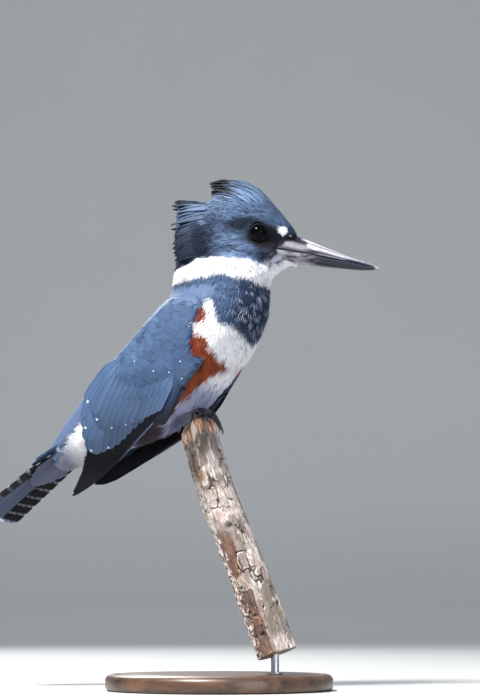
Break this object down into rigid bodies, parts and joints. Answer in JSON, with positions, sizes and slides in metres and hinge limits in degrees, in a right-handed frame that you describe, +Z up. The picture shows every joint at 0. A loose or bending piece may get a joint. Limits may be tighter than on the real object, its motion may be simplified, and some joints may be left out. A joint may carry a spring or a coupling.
{
  "type": "perched belted kingfisher model",
  "caption": "Life-size still model of a female belted kingfisher with raised crest, gripping a cut length of branch on a plain display stand.",
  "frame": {"origin": "centre of the round base's underside, on the surface the stand rests on", "axes": "+Z up; +X the way the bird's body faces; +Y the bird's left side"},
  "size_m": [0.2553, 0.14, 0.3146],
  "materials": {
    "slate_feather": "soft slate-blue plumage",
    "white_feather": "soft white plumage",
    "black_feather": "sleek blackish flight feathers",
    "bill_horn": "smooth dark grey horn with a sheen",
    "eye": "wet, very dark brown",
    "leg_scale": "dark scaly skin",
    "claw_horn": "black horn",
    "bark": "weathered grey-brown bark with bare patches",
    "steel_rod": "satin steel",
    "base_wood": "dark turned wood, satin varnish"
  },
  "bodies": {
    "root": {"crest": "slate_feather", "head": "slate_feather", "neck": "white_feather", "breast": "slate_feather", "back": "slate_feather", "belly": "white_feather", "rump": "slate_feather", "bill_upper": "bill_horn", "bill_lower": "bill_horn", "eye_left": "eye", "eye_right": "eye", "wing_coverts_left": "slate_feather", "wing_coverts_right": "slate_feather", "wing_secondaries_left": "slate_feather", "wing_secondaries_right": "slate_feather", "wing_primaries_left": "black_feather", "wing_primaries_right": "black_feather", "tail_left": "black_feather", "tail_middle": "slate_feather", "tail_right": "black_feather", "shank_left": "leg_scale", "shank_right": "leg_scale", "foot_left": "leg_scale", "foot_right": "leg_scale", "inner_toe_claw_left": "claw_horn", "inner_toe_claw_right": "claw_horn", "middle_toe_claw_left": "claw_horn", "middle_toe_claw_right": "claw_horn", "outer_toe_claw_left": "claw_horn", "outer_toe_claw_right": "claw_horn", "hind_toe_claw_left": "claw_horn", "hind_toe_claw_right": "claw_horn", "perch": "bark", "stand_rod": "steel_rod", "stand_base": "base_wood"}
  },
  "joints": []
}
